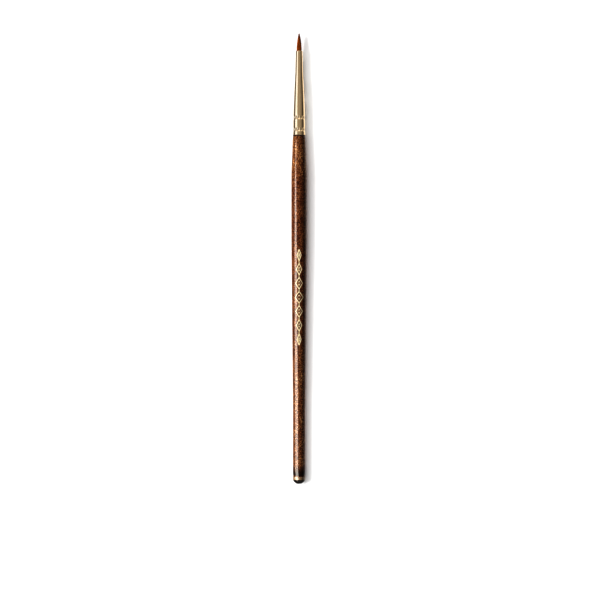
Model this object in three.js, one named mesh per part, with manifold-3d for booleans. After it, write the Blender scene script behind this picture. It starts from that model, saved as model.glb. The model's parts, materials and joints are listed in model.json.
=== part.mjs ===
// Fine detail brush: a turned and lacquered wooden handle, a drawn metal ferrule crimped
// on to its tenon, and a small pointed hair tuft tied and set in resin inside the ferrule.
//
// Millimetres. The brush lies along Y with its hair towards +Y, and +Z is up. z = 0 is the
// surface that the belly of the handle rests on, and the origin is on that surface, half
// way along the brush. Every distance called "along" is measured from the tail end.

import * as THREE from 'three';
import * as BufferGeometryUtils from 'three/addons/utils/BufferGeometryUtils.js';
import Module from 'manifold-3d';

const wasm = await Module();
wasm.setup();

// ---- driving dimensions ----

const overallLength = 180;
const hairLength = 7; // hair in front of the ferrule
const ferruleLength = 33.7;
const bellyRadius = 3.02; // thickest part of the handle
const shoulderRadius = 2.52; // handle where the ferrule ends
const tailRadius = 2.39;
const hairRadius = 0.93; // tuft where it leaves the ferrule
const fit = 0.03; // clearance between pieces that touch
const sides = 24; // facets round a turned piece
const curveSteps = 6; // straight steps along a curved stretch of an outline

// ---- places along the brush ----

const mouth = overallLength - hairLength;
const shoulder = mouth - ferruleLength;
const frontTaperEnd = shoulder - 1.3;
const bellyFront = 122.3;
const bellyBack = 97.5;
const tailTaperEnd = 30;
const bandFront = 2.8; // gold band, between the stained wood and the black tail dip
const bandBack = 1.6;
const domeLength = 1.9; // rounded tail end
const buttRadius = 0.8; // small flat at the very end
const tenonEnd = shoulder + 13.6;
const plugBack = tenonEnd + 2.2;
const hairRootEnd = plugBack + 1.4;
const threadBack = hairRootEnd + 1.2;
const plugFront = threadBack + 3;

// ---- wall thicknesses and depths ----

const ferruleWall = 0.28;
const lipLength = 0.6; // stretch at the mouth that is turned in to the hair
const glueThickness = 0.08;
const bandThickness = 0.12;
const dipThickness = 0.2;
const foilThickness = 0.05;
const threadRadius = 0.07;
const threadTurns = 6;
const crimpDepth = 0.26;
const crimpHalfWidth = 1.1;
const crimps = [shoulder + 2.2, shoulder + 7];
const edgeBreak = 0.14; // rounding of the handle's shoulder

// ---- ferrule outside: radius at its stations from the shoulder to the mouth ----

const ferruleCone = [
  [shoulder, 2.475],
  [shoulder + 9, 2.32],
  [shoulder + 18.4, 1.93],
  [shoulder + 25.6, 1.54],
  [shoulder + 30.4, 1.46],
  [mouth, 1.35],
];

// ---- tuft: radius at distances in front of the mouth, and where it is divided to bend ----

const tuftOutline = [
  [0, hairRadius],
  [1.1, 0.91],
  [2, 0.79],
  [3.4, 0.69],
  [4.6, 0.57],
  [5.6, 0.4],
  [6.4, 0.23],
  [hairLength, 0],
];
const tuftJoints = [
  { name: 'tuft_base', pivot: 0.9, reach: 1.2 },
  { name: 'tuft_belly', pivot: 2.4, reach: 1.1 },
  { name: 'tuft_taper', pivot: 3.9, reach: 1 },
  { name: 'tuft_point', pivot: 5.3, reach: 0.8 },
];
const bendClearance = 0.04;
const dishSteps = 4;
const rimPasses = 12; // times a dish's rim is moved on to the tuft's surface

// ---- ornament: half widths of the foil's lozenges, and the half width of its thin links ----

const ornamentCentre = 74.5;
const lozengePitch = 5.6;
const lozengeHalfWidths = [0.8, 1.1, 1.4, 1.7, 1.4, 1.1, 0.8];
const lozengeHalfLength = 2.3;
const linkHalfWidth = 0.12;

// ---- materials ----

function material(color, roughness, metalness) {
  return new THREE.MeshStandardMaterial({ color, roughness, metalness });
}

const stainedWood = material(0x5c2c15, 0.25, 0);
const goldMetal = material(0xa38760, 0.25, 1);
const goldFoil = material(0xe2c07c, 0.3, 1);
const blackLacquer = material(0x140a08, 0.2, 0);
const adhesive = material(0xc9b27a, 0.4, 0);
const resin = material(0x8a5a24, 0.3, 0);
const linenThread = material(0xe6dcc4, 0.9, 0);
const hair = material(0x70300c, 0.6, 0);

// ---- helpers ----

// Facets stand outside the true circle, so that one lies flat where the brush rests.
const facetScale = 1 / Math.cos(Math.PI / sides);

// Turns a profile of [along, radius] pairs into a closed solid round the brush's axis.
function turned(profile) {
  const points = profile.map(([along, radius]) => new THREE.Vector2(radius * facetScale, along));
  return new THREE.LatheGeometry(points, sides, Math.PI / sides);
}

// Closes a tube's outer and inner outlines, both listed from tail to hair, into one ring profile.
function ring(outer, inner) {
  return [...outer, ...[...inner].reverse(), outer[0]];
}

// Straight-line interpolation in a table of [place, value] pairs.
function lookUp(table, place) {
  const next = Math.max(1, table.findIndex(([station]) => station >= place));
  const [from, low] = table[next - 1];
  const [to, high] = table[next];
  return low + ((high - low) * (place - from)) / (to - from);
}

function smoothStep(share) {
  return share * share * (3 - 2 * share);
}

// Equal steps from one place to another, both ends included.
function stepsBetween(from, to, count) {
  return Array.from({ length: count + 1 }, (_, i) => from + ((to - from) * i) / count);
}

// ---- outlines that several pieces share ----

// Ferrule's outer radius, with the crimps pressed in as rounded grooves.
function ferruleRadius(along) {
  const dent = crimps
    .map((centre) => Math.abs(along - centre) / crimpHalfWidth)
    .filter((share) => share < 1)
    .reduce((sum, share) => sum + crimpDepth * Math.cos((share * Math.PI) / 2) ** 2, 0);
  return lookUp(ferruleCone, along) - dent;
}

// Places where the ferrule, the glue and the tenon all have a ring of corners.
function ferruleStations(from, to) {
  const crimpPlaces = crimps.flatMap((centre) =>
    stepsBetween(centre - crimpHalfWidth, centre + crimpHalfWidth, curveSteps));
  const places = [...ferruleCone.map(([along]) => along), ...crimpPlaces, from, to];
  return [...new Set(places)].filter((along) => along >= from && along <= to).sort((a, b) => a - b);
}

// The ferrule's outline moved inwards by some depth.
function insideFerrule(from, to, depth) {
  return ferruleStations(from, to).map((along) => [along, ferruleRadius(along) - depth]);
}

// Finished outside of the handle, from the tail's taper to the shoulder.
function handleRadius(along) {
  if (along > bellyFront) {
    const share = Math.min(1, (along - bellyFront) / (frontTaperEnd - bellyFront));
    return bellyRadius + (shoulderRadius - bellyRadius) * smoothStep(share);
  }
  const share = THREE.MathUtils.clamp((along - tailTaperEnd) / (bellyBack - tailTaperEnd), 0, 1);
  return tailRadius + (bellyRadius - tailRadius) * share;
}

// Rounded tail end: an ellipse cut off by the small flat. The inset moves it inwards.
function domeRadius(along, inset) {
  const flatShare = Math.sqrt(1 - (buttRadius / tailRadius) ** 2);
  const left = (domeLength - along) / (domeLength - inset);
  return (tailRadius - inset) * Math.sqrt(1 - (flatShare * left) ** 2);
}

// The rounded end's outline, with its corners closer together where it curves most.
function tailDome(inset, to) {
  return stepsBetween(0, 1, curveSteps + 2).map((share) => {
    const along = inset + (to - inset) * share ** 2;
    return [along, domeRadius(along, inset)];
  });
}

function tuftRadius(ahead) {
  return ahead < 0 ? hairRadius : lookUp(tuftOutline, ahead);
}

// ---- handle group ----

function makeHandle() {
  const underDip = tailDome(dipThickness + fit, bandBack);
  const seatRadius = tailRadius - bandThickness - fit;
  const shoulderFace = shoulder - fit;
  const tenonDepth = ferruleWall + glueThickness + 2 * fit;
  const frontTaper = stepsBetween(bellyFront, frontTaperEnd, curveSteps)
    .map((along) => [along, handleRadius(along)]);
  const profile = [
    [underDip[0][0], 0],
    ...underDip,
    [bandBack, seatRadius],
    [bandFront + fit, seatRadius],
    [bandFront + fit, tailRadius],
    [tailTaperEnd, tailRadius],
    [bellyBack, bellyRadius],
    ...frontTaper,
    [shoulderFace - edgeBreak, shoulderRadius],
    [shoulderFace, shoulderRadius - edgeBreak],
    ...insideFerrule(shoulderFace + fit, tenonEnd, tenonDepth),
    [tenonEnd, 0],
  ];
  return turned(profile);
}

// Lacquer cap on the tail's rounded end, a thin cup that the handle sits in.
function makeTailDip() {
  const rim = bandBack - fit;
  const outer = tailDome(0, rim);
  const inner = tailDome(dipThickness, rim).reverse();
  return turned([[0, 0], ...outer, ...inner, [dipThickness, 0]]);
}

function makeGoldBand() {
  const inner = tailRadius - bandThickness;
  return turned(ring(
    [[bandBack, tailRadius], [bandFront, tailRadius]],
    [[bandBack, inner], [bandFront, inner]],
  ));
}

// ---- foil ornament: a chain of lozenges, pressed on to the top of the handle ----

function ornamentOutline() {
  const first = ornamentCentre - (lozengePitch * (lozengeHalfWidths.length - 1)) / 2;
  const edge = lozengeHalfWidths.flatMap((halfWidth, index) => {
    const centre = first + index * lozengePitch;
    return [
      [linkHalfWidth, centre - lozengeHalfLength],
      [halfWidth, centre],
      [linkHalfWidth, centre + lozengeHalfLength],
    ];
  });
  const mirrored = [...edge].reverse().map(([across, along]) => [-across, along]);
  return new THREE.Shape([...edge, ...mirrored].map(([across, along]) => new THREE.Vector2(across, along)));
}

function asManifold(geometry) {
  const bare = geometry.clone();
  bare.deleteAttribute('normal');
  bare.deleteAttribute('uv');
  const merged = BufferGeometryUtils.mergeVertices(bare);
  return new wasm.Manifold(new wasm.Mesh({
    numProp: 3,
    vertProperties: new Float32Array(merged.attributes.position.array),
    triVerts: new Uint32Array(merged.index.array),
  }));
}

function asGeometry(solid) {
  const mesh = solid.getMesh();
  const geometry = new THREE.BufferGeometry();
  geometry.setAttribute('position', new THREE.BufferAttribute(mesh.vertProperties, 3));
  geometry.setIndex(new THREE.BufferAttribute(mesh.triVerts, 1));
  return geometry;
}

// The foil is the part of a thin shell round the handle's taper that lies under the outline.
function makeOrnament() {
  const inner = [tailTaperEnd, bellyBack].map((along) => [along, handleRadius(along) + fit]);
  const outer = inner.map(([along, radius]) => [along, radius + foilThickness]);
  const shell = turned(ring(outer, inner));
  const stamp = new THREE.ExtrudeGeometry(ornamentOutline(), {
    depth: 2 * bellyRadius,
    bevelEnabled: false,
  });
  return asGeometry(asManifold(shell).intersect(asManifold(stamp)));
}

// ---- ferrule group ----

function makeFerrule() {
  const lipRadius = hairRadius + bendClearance;
  const bore = [
    ...insideFerrule(shoulder, mouth - 2 * lipLength, ferruleWall),
    [mouth - lipLength, lipRadius],
    [mouth, lipRadius],
  ];
  return turned(ring(insideFerrule(shoulder, mouth, 0), bore));
}

function makeTenonGlue() {
  const outerDepth = ferruleWall + fit;
  return turned(ring(
    insideFerrule(shoulder + fit, tenonEnd, outerDepth),
    insideFerrule(shoulder + fit, tenonEnd, outerDepth + glueThickness),
  ));
}

// Resin cast round the roots of the hair: a cup that opens towards the mouth.
function makeRootPlug() {
  const outer = insideFerrule(plugBack, plugFront, ferruleWall + fit);
  const well = hairRadius + 2 * threadRadius + 2 * fit;
  const profile = [
    [plugBack, 0],
    ...outer,
    [plugFront, well],
    [hairRootEnd - fit, well],
    [hairRootEnd - fit, 0],
  ];
  return turned(profile);
}

// Thread wound round the hair just in front of its roots.
function makeBindingThread() {
  const radius = (hairRadius + fit) * facetScale + threadRadius;
  const pitch = 2 * threadRadius + fit;
  const stepsPerTurn = 14;
  const points = stepsBetween(0, threadTurns, threadTurns * stepsPerTurn).map((turn) => new THREE.Vector3(
    radius * Math.cos(2 * Math.PI * turn),
    threadBack + pitch * turn,
    radius * Math.sin(2 * Math.PI * turn),
  ));
  const strand = new THREE.Shape(stepsBetween(0, 5, 5).map((corner) => new THREE.Vector2(
    threadRadius * Math.cos((Math.PI / 3) * corner),
    threadRadius * Math.sin((Math.PI / 3) * corner),
  )));
  return new THREE.ExtrudeGeometry(strand, {
    steps: points.length - 1,
    extrudePath: new THREE.CatmullRomCurve3(points),
  });
}

// ---- tuft: slices that meet in shallow dishes centred on their pivots ----

// Arc round a pivot, from the axis out to the tuft's surface, as [along, radius] pairs.
function dish(pivot, reach) {
  let rimRadius = tuftRadius(pivot - reach);
  for (let pass = 0; pass < rimPasses; pass += 1) {
    rimRadius = tuftRadius(pivot - Math.sqrt(reach ** 2 - rimRadius ** 2));
  }
  return stepsBetween(0, Math.asin(rimRadius / reach), dishSteps).map((angle) => [
    mouth + pivot - reach * Math.cos(angle),
    reach * Math.sin(angle),
  ]);
}

// Surface of the tuft between two places, at its outline's own corners.
function tuftSide(from, to) {
  return tuftOutline
    .map(([ahead, radius]) => [mouth + ahead, radius])
    .filter(([along]) => along > from + bendClearance && along < to - bendClearance);
}

// One slice, from its own rounded back to the dish that the next slice turns in.
function makeTuftSlice(index) {
  const { pivot, reach } = tuftJoints[index];
  const back = dish(pivot, reach);
  const next = tuftJoints[index + 1];
  if (!next) {
    return turned([...back, ...tuftSide(back.at(-1)[0], overallLength), [overallLength, 0]]);
  }
  const front = dish(next.pivot, next.reach + bendClearance).reverse();
  return turned([...back, ...tuftSide(back.at(-1)[0], front[0][0]), ...front]);
}

function makeTuftRoot() {
  const { pivot, reach } = tuftJoints[0];
  const front = dish(pivot, reach + bendClearance).reverse();
  return turned([[hairRootEnd, 0], [hairRootEnd, hairRadius], ...front]);
}

// ---- assembly ----

const brush = new THREE.Group();
brush.name = 'fine_detail_brush';
brush.position.set(0, -overallLength / 2, bellyRadius);

function add(name, geometry, look) {
  const mesh = new THREE.Mesh(geometry, look);
  mesh.name = name;
  brush.add(mesh);
}

add('handle', makeHandle(), stainedWood);
add('tail_dip', makeTailDip(), blackLacquer);
add('gold_band', makeGoldBand(), goldFoil);
add('foil_ornament', makeOrnament(), goldFoil);
add('ferrule', makeFerrule(), goldMetal);
add('tenon_glue', makeTenonGlue(), adhesive);
add('root_plug', makeRootPlug(), resin);
add('binding_thread', makeBindingThread(), linenThread);
add('tuft_root', makeTuftRoot(), hair);
tuftJoints.forEach(({ name }, index) => add(name, makeTuftSlice(index), hair));

export default brush;
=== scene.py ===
import json
import math
import random

import bpy
import numpy as np
from mathutils import Matrix, Vector


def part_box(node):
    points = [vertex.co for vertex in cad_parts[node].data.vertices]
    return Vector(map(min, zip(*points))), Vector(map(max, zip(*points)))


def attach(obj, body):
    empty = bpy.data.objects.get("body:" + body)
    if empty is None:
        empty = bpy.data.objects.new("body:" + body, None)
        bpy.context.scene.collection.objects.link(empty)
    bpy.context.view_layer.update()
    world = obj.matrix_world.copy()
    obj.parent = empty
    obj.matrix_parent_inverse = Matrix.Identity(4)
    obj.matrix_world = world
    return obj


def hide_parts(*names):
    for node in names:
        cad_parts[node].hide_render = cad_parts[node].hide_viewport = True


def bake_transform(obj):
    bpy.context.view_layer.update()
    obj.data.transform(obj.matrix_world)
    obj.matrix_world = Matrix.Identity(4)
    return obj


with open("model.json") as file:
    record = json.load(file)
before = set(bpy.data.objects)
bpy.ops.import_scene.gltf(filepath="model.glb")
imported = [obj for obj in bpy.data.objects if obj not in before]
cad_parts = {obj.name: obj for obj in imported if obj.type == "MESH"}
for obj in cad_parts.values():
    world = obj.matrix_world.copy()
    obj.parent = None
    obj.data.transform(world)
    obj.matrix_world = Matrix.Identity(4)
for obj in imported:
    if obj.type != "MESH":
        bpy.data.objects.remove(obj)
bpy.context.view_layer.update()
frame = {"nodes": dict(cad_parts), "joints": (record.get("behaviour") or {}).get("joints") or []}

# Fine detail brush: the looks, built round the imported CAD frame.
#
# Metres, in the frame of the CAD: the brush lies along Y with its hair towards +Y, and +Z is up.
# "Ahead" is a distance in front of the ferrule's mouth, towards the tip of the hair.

MM = 0.001

# ---- places and sizes that come from the frame ----

CAD_FACETS = 24  # every turned CAD piece, with its facets outside the true circle
BAND_BACK, BAND_FRONT = (corner.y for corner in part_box("gold_band"))
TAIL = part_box("tail_dip")[0].y
SHOULDER, MOUTH = (corner.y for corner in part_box("ferrule"))
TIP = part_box("tuft_point")[1].y
AXIS_HEIGHT = sum(corner.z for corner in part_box("gold_band")) / 2
BELLY_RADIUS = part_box("handle")[1].x
TAIL_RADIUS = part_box("gold_band")[1].x
HAIR_LENGTH = TIP - MOUTH
VIEW_CENTRE = Vector((0.36 * MM, -16.6 * MM, AXIS_HEIGHT))  # what the camera looks at
JOINTS = frame["joints"]

# ---- sizes that only the looks need ----

ROUND = 96  # segments round a turned piece
ON_AXIS = 1e-7  # a profile corner with a smaller radius becomes one vertex
CRIMPS = (2.2 * MM, 7.0 * MM)  # their middles, from the shoulder
CRIMP_HALF_WIDTH = 1.1 * MM
DIMPLES = 14  # marks of the crimping jaws round each crimp
DIMPLE_DEPTH = 0.12 * MM
LIP_BEAD = 0.0105 * MM  # how far the rolled lip stands out of the ferrule's wall
FOIL_LIFT = 0.012 * MM
HANDLE_ROUNDING = 1.6 * MM  # the handle's CAD corners are rounded over this much on each side
FERRULE_ROUNDING = 0.12 * MM
DOME_ROUNDING = 0.02 * MM
TUFT_ROUNDING = 0.35 * MM
STRANDS = 300
STRAND_RADIUS = 0.045 * MM  # more than at a strand's tip
STRAND_TIP_RADIUS = 0.015 * MM
STRAND_SIDES = 5
STRAND_START = -3 * MM  # strands begin this far inside the ferrule
STRAND_STEP = 0.3 * MM  # between the rings of a strand
SHORTEST_STRAND = 0.05 * MM  # a strand with less than this in a section stops before it

random.seed(7)


# ---- mesh helpers ----

def outline(node, inside=False):
    """The (y, radius) corners of a turned CAD node's outer surface, or of its bore, along Y."""
    mesh = frame["nodes"][node].data
    corners = {}
    for face in mesh.polygons:
        outward = face.normal.x * face.center.x + face.normal.z * (face.center.z - AXIS_HEIGHT)
        if abs(face.normal.y) > 0.98 or (outward < 0) != inside:
            continue
        for vertex in (mesh.vertices[index].co for index in face.vertices):
            radius = math.hypot(vertex.x, vertex.z - AXIS_HEIGHT) * math.cos(math.pi / CAD_FACETS)
            corners[(round(vertex.y, 6), round(radius, 6))] = True
    return sorted(corners)


def smoothed(corners, places, spread):
    """Radii at places, from corners joined by straight lines and averaged over a short stretch."""
    ys, radii = zip(*corners)
    offsets = np.linspace(-spread, spread, 9)
    return np.mean([np.interp(np.asarray(places) + offset, ys, radii) for offset in offsets], axis=0)


def arc(centre, radius, start, end, steps):
    """Points of an arc in the (y, r) half plane, with angles in degrees."""
    angles = np.radians(np.linspace(start, end, steps + 1))
    return [(centre[0] + radius * math.sin(a), centre[1] + radius * math.cos(a)) for a in angles]


def new_object(name, vertices, faces, sharp_angle=40):
    mesh = bpy.data.meshes.new(name)
    mesh.from_pydata(vertices, [], faces)
    mesh.validate()
    mesh.update()
    piece = bpy.data.objects.new(name, mesh)
    bpy.context.scene.collection.objects.link(piece)
    mesh.shade_smooth()
    mesh.set_sharp_from_angle(angle=math.radians(sharp_angle))
    return piece


def revolve(name, profile, relief=None, closed=False):
    """Turns a (y, r) profile round the brush's axis. relief(y, r, angle) gives a changed radius."""
    vertices, rows = [], []
    for y, r in profile:
        if r < ON_AXIS:
            rows.append([len(vertices)] * ROUND)
            vertices.append((0, y, AXIS_HEIGHT))
            continue
        rows.append(range(len(vertices), len(vertices) + ROUND))
        for step in range(ROUND):
            angle = 2 * math.pi * step / ROUND
            radius = relief(y, r, angle) if relief else r
            vertices.append((radius * math.sin(angle), y, AXIS_HEIGHT + radius * math.cos(angle)))
    faces = []
    pairs = list(zip(rows, rows[1:])) + ([(rows[-1], rows[0])] if closed else [])
    for low, high in pairs:
        for i in range(ROUND):
            j = (i + 1) % ROUND
            corners = [low[i], high[i], high[j], low[j]]
            faces.append(list(dict.fromkeys(corners)))
    return new_object(name, vertices, faces)


def finish_piece(piece, material, body=None, replaces=()):
    """Gives a piece its material and its body, when one is given, and hides the CAD nodes it replaces."""
    piece.data.materials.append(material)
    if body:
        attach(piece, body)
    if replaces:
        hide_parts(*replaces)
    return piece


# ---- material helpers ----

class Look:
    """A Principled material whose patterns are in object coordinates, in millimetres."""

    def __init__(self, name, **constants):
        self.material = bpy.data.materials.new(name)
        self.material.use_nodes = True
        self.nodes = self.material.node_tree.nodes
        self.links = self.material.node_tree.links
        self.shader = self.nodes["Principled BSDF"]
        for socket, value in constants.items():
            self.shader.inputs[socket.replace("_", " ")].default_value = value
        self.place = self.nodes.new("ShaderNodeTexCoord").outputs["Object"]

    def node(self, kind, settings=None, **inputs):
        made = self.nodes.new(kind)
        for key, value in (settings or {}).items():
            setattr(made, key, value)
        for socket, value in inputs.items():
            self.feed(made.inputs[socket.replace("_", " ")], value)
        return made

    def feed(self, socket, value):
        if isinstance(value, bpy.types.NodeSocket):
            self.links.new(value, socket)
        else:
            socket.default_value = value

    def stretched(self, across, along):
        """Coordinates in which a feature of size 1 is across wide and along long, in millimetres."""
        scale = (1 / (across * MM), 1 / (along * MM), 1 / (across * MM))
        return self.node("ShaderNodeMapping", Vector=self.place, Scale=scale).outputs["Vector"]

    def noise(self, across, along, detail=2.0, roughness=0.5):
        made = self.node("ShaderNodeTexNoise", Vector=self.stretched(across, along), Scale=1.0)
        made.inputs["Detail"].default_value = detail
        made.inputs["Roughness"].default_value = roughness
        return made.outputs["Fac"]

    def ramp(self, factor, *stops):
        """Colours or grey values at positions from 0 to 1."""
        made = self.node("ShaderNodeValToRGB", Fac=factor)
        elements = made.color_ramp.elements
        while len(elements) < len(stops):
            elements.new(0.5)
        for element, (position, colour) in zip(elements, stops):
            element.position = position
            element.color = (*colour, 1) if isinstance(colour, tuple) else (colour,) * 3 + (1,)
        return made.outputs["Color"]

    def mix(self, factor, first, second, blend="MIX"):
        made = self.nodes.new("ShaderNodeMix")
        made.data_type, made.blend_type = "RGBA", blend
        self.feed(made.inputs["Factor"], factor)
        for socket, value in ((made.inputs["A"], first), (made.inputs["B"], second)):
            colour_socket = next(s for s in made.inputs if s.name == socket.name and s.type == "RGBA")
            self.feed(colour_socket, (*value, 1) if isinstance(value, tuple) else value)
        return next(s for s in made.outputs if s.type == "RGBA")

    def along(self, start, end):
        """0 before start and 1 after end, going along the brush."""
        parts = self.node("ShaderNodeSeparateXYZ", Vector=self.place)
        smooth = {"interpolation_type": "SMOOTHSTEP"}
        made = self.node("ShaderNodeMapRange", smooth, Value=parts.outputs["Y"])
        made.inputs["From Min"].default_value = start
        made.inputs["From Max"].default_value = end
        return made.outputs["Result"]

    def bump(self, height, distance, strength=1.0, socket="Normal"):
        made = self.node("ShaderNodeBump", Height=height, Strength=strength, Distance=distance)
        self.links.new(made.outputs["Normal"], self.shader.inputs[socket])

    def colour(self, value):
        self.links.new(value, self.shader.inputs["Base Color"])

    def roughness(self, value):
        self.links.new(value, self.shader.inputs["Roughness"])


# ---- materials ----

def wood_colour(look, grain):
    """Clouds of brown with fine light and dark flecks and a grain along the handle."""
    cloud = look.noise(1.6, 4.0, detail=3.0)
    dark, middle, light = (0.095, 0.030, 0.012), (0.125, 0.046, 0.018), (0.165, 0.070, 0.029)
    base = look.ramp(cloud, (0.34, dark), (0.5, middle), (0.66, light))
    fleck = look.noise(0.34, 0.5, detail=1.0, roughness=0.6)
    flecks = look.ramp(
        fleck,
        (0.34, (0.24, 0.13, 0.10)),
        (0.47, (0.56, 0.43, 0.38)),
        (0.55, (1.15, 1.1, 1.05)),
        (0.67, (2.3, 2.7, 2.9)),
    )
    wood = look.mix(1.0, base, flecks, "MULTIPLY")
    return look.mix(0.5, wood, look.ramp(grain, (0.35, 0.5), (0.65, 1.4)), "MULTIPLY")


def lighter_ends(look, wood):
    """The stain is lighter and yellower towards the tail and towards the ferrule."""
    gain = look.mix(look.along(-30 * MM, -52 * MM), (1.0, 1.0, 1.0), (1.35, 1.6, 1.7))
    gain = look.mix(look.along(28 * MM, 38 * MM), gain, (1.5, 1.85, 1.9))
    return look.mix(1.0, wood, gain, "MULTIPLY")


def dark_edges(look, wood):
    """A dark line at the shoulder, partly painted shade in the joint behind the ferrule's edge, and a
    dark fade into the tail, weaker beside the gold band.
    """
    edge_colour = (0.008, 0.003, 0.002)
    # In part painted shade, in the joint behind the ferrule's rear edge.
    front = look.ramp(look.along(SHOULDER - 0.8 * MM, SHOULDER - 0.3 * MM), (0.0, 0.0), (1.0, 0.8))
    wood = look.mix(front, wood, edge_colour)
    tail_fade = look.along(BAND_FRONT + 1.2 * MM, BAND_FRONT + 5.4 * MM)
    near_band = look.along(BAND_FRONT + 0.2 * MM, BAND_FRONT + 0.8 * MM)
    tail = look.ramp(tail_fade, (0.0, 0.92), (1.0, 0.0))
    tail = look.mix(1.0, tail, look.ramp(near_band, (0.0, 0.35), (1.0, 1.0)), "MULTIPLY")
    return look.mix(tail, wood, edge_colour)


def stained_wood():
    look = Look(
        "stained_wood", Coat_Weight=0.105, Coat_Roughness=0.05, Coat_IOR=3.0, Specular_IOR_Level=0.05,
    )
    grain = look.noise(0.14, 3.0, detail=2.0)
    look.colour(dark_edges(look, lighter_ends(look, wood_colour(look, grain))))
    look.roughness(look.ramp(grain, (0.3, 0.5), (0.7, 0.35)))
    look.bump(look.noise(1.0, 4.0, detail=1.0), 0.002 * MM, 0.2, "Coat Normal")
    look.bump(grain, 0.006 * MM, 0.4)
    return look.material


def gold_metal():
    look = Look("gold_metal", Metallic=1.0)
    tone = look.noise(1.5, 4.0, detail=3.0)
    look.colour(look.ramp(tone, (0.3, (0.72, 0.56, 0.36)), (0.7, (0.78, 0.62, 0.42))))
    draw_lines = look.noise(0.05, 3.0, detail=2.0)
    look.roughness(look.ramp(draw_lines, (0.3, 0.10), (0.7, 0.17)))
    look.bump(draw_lines, 0.002 * MM, 0.35)
    return look.material


def gold_foil():
    look = Look("gold_foil", Metallic=1.0)
    tone = look.noise(0.3, 0.3, detail=3.0)
    look.colour(look.ramp(tone, (0.35, (0.84, 0.75, 0.50)), (0.65, (0.96, 0.90, 0.68))))
    look.roughness(look.ramp(tone, (0.3, 0.38), (0.7, 0.5)))
    look.bump(look.noise(0.12, 0.12, detail=2.0), 0.004 * MM, 0.5)
    return look.material


def gold_band_look():
    """The same gold under the clear lacquer, so darker and warmer."""
    look = Look("lacquered_gold", Metallic=0.05, Coat_Weight=0.035, Coat_Roughness=0.12, Coat_IOR=3.0)
    tone = look.noise(0.5, 0.3, detail=3.0)
    look.colour(look.ramp(tone, (0.3, (0.20, 0.135, 0.085)), (0.7, (0.29, 0.20, 0.13))))
    look.roughness(look.ramp(tone, (0.3, 0.3), (0.7, 0.42)))
    look.bump(tone, 0.004 * MM, 0.4)
    return look.material


def black_lacquer():
    look = Look("black_lacquer", Coat_Weight=0.5, Coat_Roughness=0.08, Specular_IOR_Level=0.1)
    tone = look.noise(0.8, 0.5, detail=2.0)
    look.colour(look.ramp(tone, (0.3, (0.004, 0.002, 0.002)), (0.7, (0.010, 0.005, 0.004))))
    look.roughness(look.ramp(tone, (0.3, 0.3), (0.7, 0.4)))
    look.bump(look.noise(0.7, 0.7, detail=1.0), 0.01 * MM, 0.5, "Coat Normal")
    return look.material


def hair_look():
    """Red-brown hair, with painted shade and a painted gold reflection just ahead of the mouth. Each
    strand's tint is an attribute of its mesh, from 0 to 1.
    """
    look = Look("hair", Specular_IOR_Level=0.08)
    tint = look.node("ShaderNodeAttribute", {"attribute_name": "tint"}).outputs["Fac"]
    dark, middle, light = (0.16, 0.038, 0.002), (0.25, 0.066, 0.003), (0.37, 0.115, 0.008)
    body = look.ramp(tint, (0.0, dark), (0.5, middle), (1.0, light))
    streaks = look.noise(0.06, 1.6, detail=2.0)
    body = look.mix(0.5, body, look.ramp(streaks, (0.35, 0.55), (0.65, 1.2)), "MULTIPLY")
    tip = look.along(MOUTH + 0.6 * HAIR_LENGTH, TIP)
    body = look.mix(tip, body, (0.13, 0.022, 0.003))
    # Painted shade and a painted warm reflection of the ferrule's gold on the hair just ahead of the
    # mouth.
    mouth_shade_and_reflection = look.ramp(look.along(MOUTH - 0.1 * MM, MOUTH + 0.9 * MM), (0.0, 0.6), (1.0, 0.0))
    body = look.mix(mouth_shade_and_reflection, body, (0.20, 0.065, 0.010))
    look.colour(body)
    look.roughness(look.ramp(tint, (0.0, 0.38), (1.0, 0.52)))
    return look.material


def thread_look():
    look = Look("thread")
    twist = look.noise(0.06, 0.06, detail=2.0)
    look.colour(look.ramp(twist, (0.35, (0.62, 0.54, 0.40)), (0.65, (0.84, 0.78, 0.64))))
    look.roughness(look.ramp(twist, (0.0, 0.8), (1.0, 0.95)))
    look.bump(twist, 0.01 * MM)
    return look.material


def cast_look(name, dark, light, roughness):
    """Resin or glue: cloudy, with fine bubbles."""
    look = Look(name, Coat_Weight=0.4)
    cloud = look.noise(0.9, 0.9, detail=3.0)
    look.colour(look.ramp(cloud, (0.3, dark), (0.7, light)))
    look.roughness(look.ramp(cloud, (0.3, roughness), (0.7, roughness + 0.15)))
    look.bump(look.noise(0.15, 0.15), 0.008 * MM)
    return look.material


def floor_look():
    look = Look("floor", Specular_IOR_Level=0.1)
    tone = look.noise(60, 60, detail=2.0)
    look.colour(look.ramp(tone, (0.3, 0.88), (0.7, 0.9)))
    look.roughness(look.ramp(tone, (0.3, 0.85), (0.7, 0.95)))
    return look.material


# ---- handle ----

def handle_profile():
    """The CAD outline with its corners rounded, and a small bead of lacquer at the shoulder."""
    corners = outline("handle")
    visible_end = SHOULDER - 0.35 * MM
    places = np.linspace(BAND_FRONT + 0.05 * MM, visible_end, 150)
    body = list(zip(places, smoothed(corners, places, HANDLE_ROUNDING)))
    front = [(y, r) for y, r in corners if y > SHOULDER + 0.1 * MM]
    tail = [(y, r) for y, r in corners if y < BAND_FRONT]
    edge_radius = body[-1][1]
    bead = 0.16 * MM
    shoulder = [
        (visible_end + 0.1 * MM, edge_radius + 0.6 * bead),
        (visible_end + 0.2 * MM, edge_radius + bead),
        (visible_end + 0.28 * MM, edge_radius + 0.6 * bead),
        (visible_end + 0.32 * MM, edge_radius - bead),
        (SHOULDER - 0.03 * MM, front[0][1] + 0.05 * MM),
    ]
    return [(tail[0][0], 0)] + tail + body + shoulder + front + [(front[-1][0], 0)]


def build_handle():
    piece = revolve("handle_wood", handle_profile())
    finish_piece(piece, stained_wood(), "brush", ["handle"])


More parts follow.
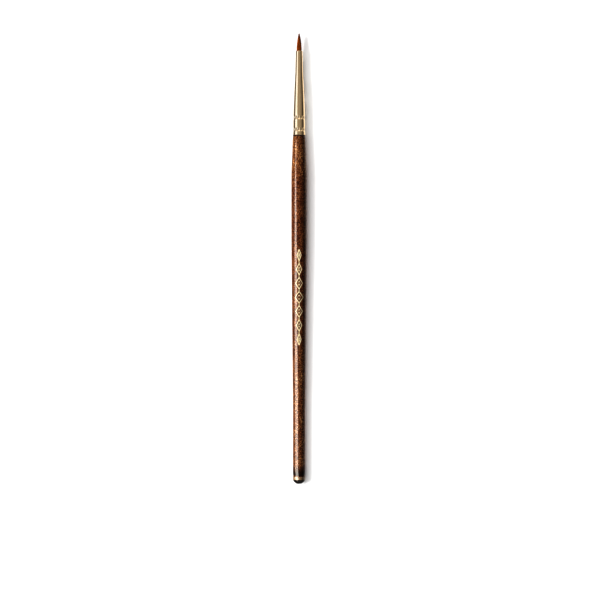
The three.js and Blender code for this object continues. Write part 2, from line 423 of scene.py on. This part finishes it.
def build_tail_dip():
    """The dome of black lacquer, a shell with the handle's end inside it."""
    thickness = 0.2 * MM
    dome = outline("tail_dip")
    places = TAIL + np.linspace(0, 1, 25) ** 2 * (BAND_BACK - 0.04 * MM - TAIL)
    outer = list(zip(places, smoothed(dome, places, DOME_ROUNDING)))
    inner = [(y + thickness, r - thickness) for y, r in outer if y + thickness < BAND_BACK - 0.05 * MM]
    profile = [(TAIL, 0)] + outer + inner[::-1] + [(inner[0][0], 0)]
    dip = revolve("tail_dip_lacquer", profile)
    finish_piece(dip, black_lacquer(), "brush", ["tail_dip"])


def build_gold_band():
    """The ring, slightly crowned along its width."""
    inner_radius = min(r for _, r in outline("gold_band", inside=True))
    crown = 0.02 * MM
    shares = np.linspace(0, 1, 9)
    swell = [TAIL_RADIUS - crown + crown * math.sin(math.pi * share) for share in shares]
    profile = list(zip(np.linspace(BAND_BACK, BAND_FRONT, len(shares)), swell))
    profile += [(BAND_FRONT, inner_radius), (BAND_BACK, inner_radius)]
    band = revolve("gold_band_ring", profile, closed=True)
    finish_piece(band, gold_band_look(), "brush", ["gold_band"])


# ---- ferrule ----

FERRULE_OUTER = outline("ferrule")
FERRULE_WALL_MIDDLE = 0.14 * MM  # under the outer surface


def crimp_share(y):
    """1 at the middle of a crimp and 0 outside it."""
    nearest = min(abs(y - SHOULDER - place) for place in CRIMPS)
    return max(0.0, 1 - nearest / CRIMP_HALF_WIDTH)


def dimpled(y, r, angle):
    """Waves round the crimps on the outer surface. The bore stays round."""
    share = crimp_share(y)
    wall_middle = float(np.interp(y, *zip(*FERRULE_OUTER))) - FERRULE_WALL_MIDDLE
    if share <= 0 or r < wall_middle:
        return r
    wave = math.cos(DIMPLES * angle)
    return r - DIMPLE_DEPTH * wave * math.sin(math.pi * share / 2) ** 4


def build_ferrule():
    """A tube with a slightly flared rear edge, crimps and a rolled lip at the mouth."""
    places = np.linspace(SHOULDER + 0.3 * MM, MOUTH - 0.5 * MM, 300)
    radii = smoothed(FERRULE_OUTER, places, FERRULE_ROUNDING)
    flare = 0.035 * MM
    rear_edge = [
        (SHOULDER, radii[0] - 0.06 * MM),
        (SHOULDER + 0.01 * MM, radii[0] + 0.2 * flare),
        (SHOULDER + 0.06 * MM, radii[0] + flare),
        (SHOULDER + 0.14 * MM, radii[0] + 0.8 * flare),
        (SHOULDER + 0.22 * MM, radii[0] + 0.2 * flare),
    ]
    bore = [(y, r) for y, r in outline("ferrule", inside=True) if y > SHOULDER + 0.01 * MM]
    lip_radius = bore[-1][1]
    half_wall = (radii[-1] - lip_radius) / 2
    lip = arc((MOUTH - half_wall, lip_radius + half_wall), half_wall + LIP_BEAD, -20, 180, 12)
    inner = bore[::-1][1:]
    profile = rear_edge + list(zip(places, radii)) + lip + inner + [(SHOULDER, inner[-1][1])]
    piece = revolve("ferrule_tube", profile, relief=dimpled, closed=True)
    return finish_piece(piece, gold_metal(), "brush", ["ferrule"])


# ---- foil ornament: a chain of outlined lozenges with a small one in each ----

LOZENGE_PITCH = 5.6 * MM
LOZENGE_HALF_WIDTHS = [0.8 * MM, 1.1 * MM, 1.4 * MM, 1.7 * MM, 1.4 * MM, 1.1 * MM, 0.8 * MM]
LOZENGE_HALF_LENGTH = 2.3 * MM
FOIL_STROKE = 0.36 * MM
LINK_HALF_WIDTH = 0.12 * MM
INNER_WIDTH_SHARE = 0.38  # the small lozenge against the large one
INNER_LENGTH_SHARE = 0.45
LOZENGE_STEPS = np.linspace(-1, 1, 17)  # from a lozenge's back point to its front point


class Foil:
    """Thin closed strips laid on the handle. Rows are pairs of (across, y) points, left then right."""

    def __init__(self):
        self.handle = outline("handle")
        self.vertices = []
        self.faces = []

    def place(self, across, y, lift):
        radius = float(smoothed(self.handle, [y], HANDLE_ROUNDING)[0]) + lift
        angle = across / radius
        return (radius * math.sin(angle), y, AXIS_HEIGHT + radius * math.cos(angle))

    def strip(self, rows):
        start = len(self.vertices)
        for left, right in rows:
            for lift in (FOIL_LIFT, FOIL_LIFT / 3):
                self.vertices.append(self.place(*left, lift))
                self.vertices.append(self.place(*right, lift))
        last = start + 4 * (len(rows) - 1)
        for a in range(start, last, 4):
            b = a + 4
            self.faces.append([a, a + 1, b + 1, b])
            self.faces.append([a + 3, a + 2, b + 2, b + 3])
            self.faces.append([a + 2, a, b, b + 2])
            self.faces.append([a + 1, a + 3, b + 3, b + 1])
        self.faces.append([start + 1, start, start + 2, start + 3])
        self.faces.append([last, last + 1, last + 3, last + 2])

    def half_outline(self, middle, half_width, side):
        """One side of a lozenge's outline. side is -1 for the left and 1 for the right."""
        rows = []
        for t in LOZENGE_STEPS:
            edge = half_width * (1 - abs(t)) + FOIL_STROKE / 2
            inside = max(0.0, edge - FOIL_STROKE)
            y = middle + t * LOZENGE_HALF_LENGTH
            rows.append([(across, y) for across in sorted((side * inside, side * edge))])
        self.strip(rows)

    def small_lozenge(self, middle, half_width):
        rows = []
        for t in LOZENGE_STEPS:
            edge = INNER_WIDTH_SHARE * half_width * (1 - abs(t)) + 0.01 * MM
            y = middle + t * LOZENGE_HALF_LENGTH * INNER_LENGTH_SHARE
            rows.append([(-edge, y), (edge, y)])
        self.strip(rows)

    def link(self, middle):
        """The short bar between two lozenges."""
        reach = LOZENGE_PITCH / 2 - LOZENGE_HALF_LENGTH
        ends = (middle - reach, middle + reach)
        self.strip([[(-LINK_HALF_WIDTH, y), (LINK_HALF_WIDTH, y)] for y in ends])


def build_ornament():
    low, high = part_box("foil_ornament")
    first = (low.y + high.y) / 2 - LOZENGE_PITCH * (len(LOZENGE_HALF_WIDTHS) - 1) / 2
    foil = Foil()
    for index, half_width in enumerate(LOZENGE_HALF_WIDTHS):
        middle = first + index * LOZENGE_PITCH
        for side in (-1, 1):
            foil.half_outline(middle, half_width, side)
        foil.small_lozenge(middle, half_width)
    for gap in range(len(LOZENGE_HALF_WIDTHS) - 1):
        foil.link(first + (gap + 0.5) * LOZENGE_PITCH)
    piece = new_object("foil_lozenges", foil.vertices, foil.faces)
    return finish_piece(piece, gold_foil(), "brush", ["foil_ornament"])


# ---- hair ----

TUFT_OUTLINE = [  # (ahead, radius) in millimetres
    (0, 0.97), (1.1, 1.01), (2, 0.94), (3.4, 0.81), (4.6, 0.66), (5.6, 0.49), (6.4, 0.31), (7, 0.12),
]


def tuft_radius(ahead):
    """The tuft's radius at places ahead of the mouth."""
    corners = [(place * MM, radius * MM) for place, radius in TUFT_OUTLINE]
    return smoothed(corners, ahead, TUFT_ROUNDING)


def strand_sections():
    """Where the strands are cut into pieces: each piece crosses one joint."""
    pivots = [joint["pos_m"][1] - MOUTH for joint in JOINTS]
    cuts = [(low + high) / 2 for low, high in zip(pivots, pivots[1:])]
    return list(zip([STRAND_START] + cuts, cuts + [HAIR_LENGTH], pivots))


def make_strands():
    """Each strand's place in the tuft, its length and its tint. Outer strands end further back."""
    golden_angle = math.pi * (3 - math.sqrt(5))
    strands = []
    for index in range(STRANDS):
        share = math.sqrt((index + 0.5) / STRANDS)
        strands.append({
            "share": share,
            "angle": index * golden_angle + random.uniform(-0.05, 0.05),
            "end": HAIR_LENGTH - random.uniform(0, 1) ** 1.8 * (0.05 + 1.6 * share) * MM,
            "swirl": random.uniform(-0.012, 0.012),
            "wave": random.uniform(-0.02, 0.02) * MM,
            "phase": random.uniform(0, 2 * math.pi),
            "tint": random.random(),
        })
    return strands


def strand_line(strand, ahead, outer):
    """A strand's x, z and radius at places ahead, in a tuft whose radius there is outer."""
    progress = np.clip(ahead / strand["end"], 0, 1)
    radius = STRAND_RADIUS * (1 - progress ** 2.2) + STRAND_TIP_RADIUS
    reach = strand["share"] * np.maximum(outer - radius, 0)
    reach = reach + strand["wave"] * np.sin(ahead / (1.3 * MM) + strand["phase"]) * progress
    angle = strand["angle"] + strand["swirl"] * ahead / MM
    return reach * np.cos(angle), reach * np.sin(angle), radius


def add_strand(vertices, faces, strand, start, end):
    """Adds one strand, between two places ahead of the mouth, as a thin closed tube."""
    places = np.linspace(start, end, max(3, round((end - start) / STRAND_STEP) + 1))
    xs, zs, radii = strand_line(strand, places, tuft_radius(places))
    first = len(vertices)
    for x, z, place, radius in zip(xs, zs, places, radii):
        for side in range(STRAND_SIDES):
            angle = 2 * math.pi * side / STRAND_SIDES
            vertices.append((
                x + radius * math.cos(angle),
                MOUTH + place,
                AXIS_HEIGHT + z + radius * math.sin(angle),
            ))
    last = len(vertices) - STRAND_SIDES
    for ring in range(first, last, STRAND_SIDES):
        for side in range(STRAND_SIDES):
            following = (side + 1) % STRAND_SIDES
            ahead = ring + STRAND_SIDES
            faces.append([ring + side, ahead + side, ahead + following, ring + following])
    faces.append([first + side for side in range(STRAND_SIDES)])
    faces.append([last + side for side in reversed(range(STRAND_SIDES))])


def build_hair(material):
    """The strands, cut into one piece for each joint, each piece around its joint's pivot."""
    strands = make_strands()
    pieces = []
    for joint, (start, end, pivot) in zip(JOINTS, strand_sections()):
        vertices, faces, tints = [], [], []
        for strand in strands:
            last = min(end, strand["end"])
            if last <= start + SHORTEST_STRAND:
                continue
            add_strand(vertices, faces, strand, start, last)
            tints += [strand["tint"]] * (len(vertices) - len(tints))
        piece = new_object(f"hair_{joint['child']}", vertices, faces, sharp_angle=80)
        attribute = piece.data.attributes.new("tint", "FLOAT", "POINT")
        attribute.data.foreach_set("value", tints)
        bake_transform(piece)
        node = f"tuft_{joint['child'].removesuffix('_slice')}"
        pieces.append(finish_piece(piece, material, replaces=[node]))
    return pieces


def build_hair_root(material):
    """The rooted half of the tuft: one bundle, fluted by the hairs that make it."""
    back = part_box("tuft_root")[0].y
    radius = outline("tuft_root")[0][1]
    flutes = 32
    flute_depth = 0.03  # of the radius

    def fluted(y, r, angle):
        return r * (1 - flute_depth * (1 + math.cos(flutes * angle)) / 2)

    end = MOUTH + STRAND_START
    profile = [(back, 0), (back, 0.9 * radius), (back + 0.1 * MM, radius)]
    profile += [(y, radius) for y in np.linspace(back + 0.4 * MM, end, 24)]
    profile += [(end, 0)]
    piece = revolve("hair_root_bundle", profile, relief=fluted)
    finish_piece(piece, material, "brush", ["tuft_root"])


# ---- hidden pieces keep their CAD shape ----

def dress_hidden_pieces():
    looks = {
        "tenon_glue": cast_look("adhesive", (0.42, 0.34, 0.16), (0.6, 0.5, 0.27), 0.35),
        "root_plug": cast_look("resin", (0.16, 0.07, 0.015), (0.34, 0.17, 0.04), 0.22),
        "binding_thread": thread_look(),
    }
    for node, material in looks.items():
        for material_slot in frame["nodes"][node].material_slots:
            material_slot.material = material


# ---- floor ----

FLOOR_HALF_SIZE = 6.0


def build_floor():
    """Pale floor that the brush lies on: it touches the belly's back end and the tail."""
    belly_back = min(y for y, r in outline("handle") if r > BELLY_RADIUS - 0.01 * MM)
    drop = (BELLY_RADIUS - TAIL_RADIUS) / (belly_back - TAIL)
    square = [(-1, -1), (1, -1), (1, 1), (-1, 1)]
    outer = [(FLOOR_HALF_SIZE * x, FLOOR_HALF_SIZE * y) for x, y in square]
    corners = [(x, y, -drop * (y - belly_back)) for x, y in outer]
    floor = new_object("floor", corners, [[0, 1, 2, 3]])
    floor.data.materials.append(floor_look())
    floor.visible_glossy = False  # reflections show the sky and the lamps, not the floor
    return floor


# ---- lights ----

CREAM = (1.0, 0.97, 0.90)
WHITE = (0.90, 1.0, 1.22)
LAMP_LENGTH = 0.5
LAMP_DISTANCE = 0.4
CARD_LENGTH = 0.34
CARD_DISTANCE = 0.3
CARD_SHIFT = 0.085  # the cards stand beside the ferrule
CARDS = [  # name, elevation in degrees, width in metres, radiance, colour
    ("edge_card", -56, 0.22, 0.95, WHITE),
    ("side_card", 30, 0.26, 1.35, WHITE),
    ("top_card", 85, 0.38, 0.45, CREAM),
    ("far_card", 137, 0.23, 0.3, CREAM),
]


def linked(name, objects, state):
    """A collection for light linking: INCLUDE is only the objects, EXCLUDE is all but them."""
    chosen = bpy.data.collections.new(name)
    for index, member in enumerate(objects):
        chosen.objects.link(member)
        chosen.collection_objects[index].light_linking.link_state = state
    return chosen


def add_light(name, lamp, elevation, distance, receivers, state, roll=0, shift=0):
    """Puts a lamp beside the brush, aimed at its middle. Angles are in degrees.

    Elevation starts from the left horizon: 90 is overhead, 180 is the right horizon, and more than
    that, or less than 0, is below.
    """
    light = bpy.data.objects.new(name, lamp)
    height = math.radians(elevation)
    back = Vector((-math.cos(height), 0, math.sin(height)))
    along = Vector((0, 1, 0))
    turned = Matrix((along, back.cross(along), back)).transposed().to_4x4()
    spin = Matrix.Rotation(math.radians(roll), 4, "Z")
    centre = VIEW_CENTRE + along * shift
    light.matrix_world = Matrix.Translation(centre + back * distance) @ turned @ spin
    light.visible_camera = False
    bpy.context.scene.collection.objects.link(light)
    light.light_linking.receiver_collection = linked(f"{name}_receivers", receivers, state)
    return light


def area_lamp(name, length, width, radiance, colour):
    lamp = bpy.data.lights.new(name, "AREA")
    lamp.shape = "RECTANGLE"
    lamp.size, lamp.size_y = length, width
    lamp.energy = radiance * math.pi * length * width
    lamp.color = colour
    return lamp


def sun_lamp(name, width, energy):
    lamp = bpy.data.lights.new(name, "SUN")
    lamp.angle = math.radians(width)
    lamp.energy = energy
    return lamp


def light_wood(floor, gilded):
    """A softbox that only the lacquer reflects, and lights for the wood from the left and below."""
    others = [floor, *gilded]
    softbox = area_lamp("softbox", LAMP_LENGTH, 0.32, 14.4, CREAM)
    light = add_light("softbox", softbox, 42, LAMP_DISTANCE, others, "EXCLUDE", roll=45, shift=-0.12)
    light.visible_diffuse = False
    body_light = area_lamp("body_light", LAMP_LENGTH, 0.15, 16.6, CREAM)
    light = add_light("body_light", body_light, 44, LAMP_DISTANCE, others, "EXCLUDE")
    light.visible_glossy = False
    bounce = add_light("right_bounce", sun_lamp("right_bounce", 60, 2.0), 232, 1, others, "EXCLUDE")
    bounce.light_linking.blocker_collection = linked("right_bounce_blockers", [floor], "EXCLUDE")
    bounce.visible_glossy = False


def light_scene(floor, foil, ferrule, hair):
    """Lights for the wood, cards for the ferrule and the hair, and suns for the floor."""
    gilded = [foil, ferrule]
    light_wood(floor, gilded)
    for name, elevation, width, radiance, colour in CARDS:
        card = area_lamp(name, CARD_LENGTH, width, radiance, colour)
        lit = [*gilded, *hair]
        light = add_light(name, card, elevation, CARD_DISTANCE, lit, "INCLUDE", shift=CARD_SHIFT)
        light.light_linking.blocker_collection = linked(f"{name}_blockers", [floor], "EXCLUDE")
    foil_card = area_lamp("foil_card", 0.6, 0.5, 0.62, CREAM)
    add_light("foil_card", foil_card, 78, CARD_DISTANCE, [foil], "INCLUDE")
    add_light("floor_key", sun_lamp("floor_key", 14, 1.25), 49, 1, [floor], "INCLUDE")
    add_light("floor_fill", sun_lamp("floor_fill", 60, 1.2), 76, 1, [floor], "INCLUDE")
    soft_fill = add_light("soft_fill", sun_lamp("soft_fill", 60, 1.3), 79, 1, [floor], "INCLUDE")
    soft_fill.light_linking.blocker_collection = linked("soft_fill_blockers", [*gilded, *hair], "EXCLUDE")


# ---- sky ----

class Sky:
    """A world whose light depends on the direction."""

    def __init__(self, name):
        self.world = bpy.data.worlds.new(name)
        self.world.use_nodes = True
        self.nodes = self.world.node_tree.nodes
        self.links = self.world.node_tree.links
        self.direction = self.nodes.new("ShaderNodeSeparateXYZ")
        place = self.nodes.new("ShaderNodeTexCoord")
        self.links.new(place.outputs["Generated"], self.direction.inputs[0])

    def ramp(self, axis, *stops):
        """Warm greys at positions from -1 to 1 along an axis of the direction."""
        reach = self.nodes.new("ShaderNodeMapRange")
        reach.inputs["From Min"].default_value = -1
        self.links.new(self.direction.outputs[axis], reach.inputs["Value"])
        made = self.nodes.new("ShaderNodeValToRGB")
        self.links.new(reach.outputs["Result"], made.inputs["Fac"])
        elements = made.color_ramp.elements
        while len(elements) < len(stops):
            elements.new(0.5)
        for element, (position, grey) in zip(elements, stops):
            element.position = (position + 1) / 2
            element.color = (grey, grey * 0.97, grey * 0.93, 1)
        return made.outputs["Color"]

    def blend(self, factor, first, second):
        made = self.nodes.new("ShaderNodeMix")
        made.data_type = "RGBA"
        self.links.new(factor, made.inputs["Factor"])
        colours = [socket for socket in made.inputs if socket.type == "RGBA"]
        self.links.new(first, colours[0])
        self.links.new(second, colours[1])
        return next(socket for socket in made.outputs if socket.type == "RGBA")


def build_sky():
    """Dim from above, brighter from below and from both ends, with a pale backdrop in the view."""
    sky = Sky("studio")
    left = sky.ramp("Z", (-1.0, 0.3), (-0.1, 0.22), (0.05, 0.04), (0.5, 0.05), (1.0, 0.07))
    right = sky.ramp("Z", (-1.0, 1.3), (-0.35, 1.2), (0.0, 0.1), (0.3, 0.03), (1.0, 0.07))
    across = sky.blend(sky.ramp("X", (-0.1, 0.0), (0.1, 1.0)), left, right)
    ends = sky.ramp("Z", (-1.0, 0.4), (0.0, 0.4), (0.3, 1.2), (1.0, 2.0))
    to_ends = sky.ramp("Y", (-0.75, 1.0), (-0.45, 0.0), (0.45, 0.0), (0.75, 1.0))
    backdrop = sky.nodes.new("ShaderNodeRGB").outputs["Color"]
    backdrop.default_value = (0.9, 0.9, 0.9, 1)
    seen = sky.nodes.new("ShaderNodeLightPath").outputs["Is Camera Ray"]
    light = sky.blend(seen, sky.blend(to_ends, across, ends), backdrop)
    sky.links.new(light, sky.nodes["Background"].inputs["Color"])
    bpy.context.scene.world = sky.world
    sky.world.cycles_visibility.diffuse = False  # the sky shows and is reflected, but lights nothing


# ---- camera ----

def aim_camera():
    """Straight down on the brush, at the distance at which the view is 240 mm wide."""
    lens = bpy.data.cameras.new("camera")
    lens.lens = 100
    view_width = 240 * MM
    distance = view_width * lens.lens / lens.sensor_width
    lens.clip_start, lens.clip_end = distance / 10, distance * 20
    camera = bpy.data.objects.new("camera", lens)
    camera.location = VIEW_CENTRE + Vector((0, 0, distance))
    bpy.context.scene.collection.objects.link(camera)
    bpy.context.scene.camera = camera
    view = bpy.context.scene.view_settings
    view.view_transform = "Standard"
    view.gamma = 0.65
    view.exposure = 0.3


aim_camera()
build_handle()
build_tail_dip()
build_gold_band()
foil = build_ornament()
ferrule = build_ferrule()
hair_material = hair_look()
hair = build_hair(hair_material)
build_hair_root(hair_material)
light_scene(build_floor(), foil, ferrule, hair)
build_sky()
dress_hidden_pieces()
